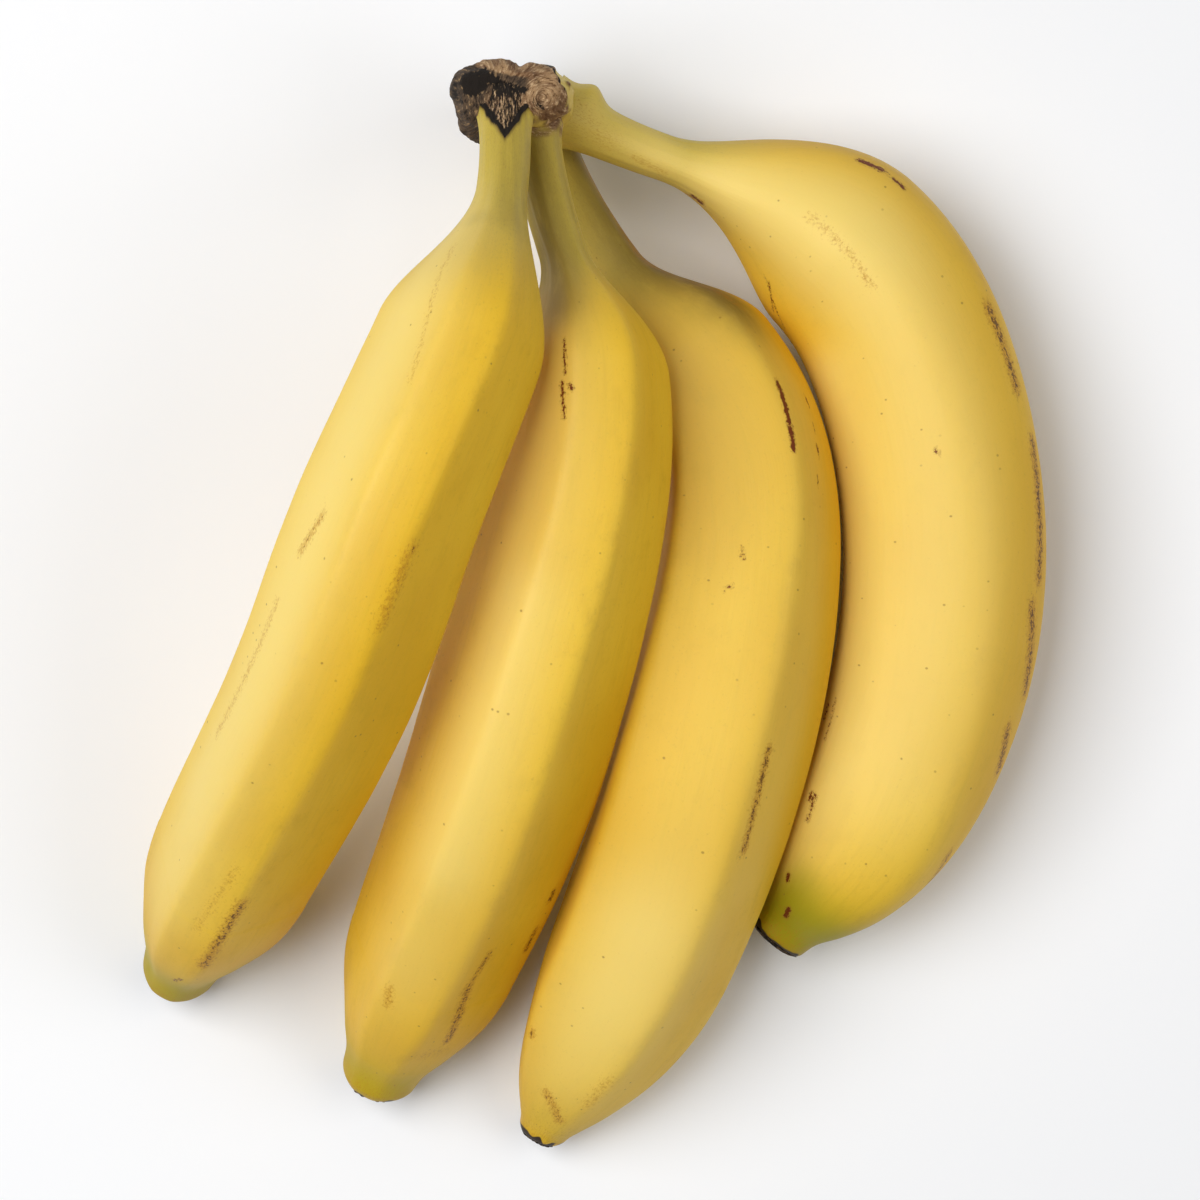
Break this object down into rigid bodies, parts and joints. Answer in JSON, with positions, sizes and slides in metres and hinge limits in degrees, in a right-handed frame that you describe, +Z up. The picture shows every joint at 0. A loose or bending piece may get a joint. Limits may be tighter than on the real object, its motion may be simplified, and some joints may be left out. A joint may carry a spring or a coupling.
{
  "type": "bunch of bananas",
  "caption": "Bunch of ripe yellow bananas joined at one dried crown, lying on its side with the fingers fanned out and stacked one over another.",
  "frame": {"origin": "middle of the bunch's outline on the table it lies on", "axes": "+Z up from the table, +Y towards the crown along the bananas, +X towards the banana that lies flat on the table"},
  "size_m": [0.1709, 0.2035, 0.0943],
  "materials": {
    "peel": "ripe banana peel, waxy and satin, yellow with yellow-green necks and tips and a few brown bruises",
    "crown_bark": "dried and torn stem tissue, matt, dark brown to tan with fine fibres",
    "dried_flower": "dried flower remnant, matt black-brown"
  },
  "bodies": {
    "root": {"crown": "crown_bark", "banana_1": "peel", "banana_2": "peel", "banana_3": "peel", "banana_4": "peel", "blossom_end_1": "dried_flower", "blossom_end_2": "dried_flower", "blossom_end_3": "dried_flower", "blossom_end_4": "dried_flower"}
  },
  "joints": []
}
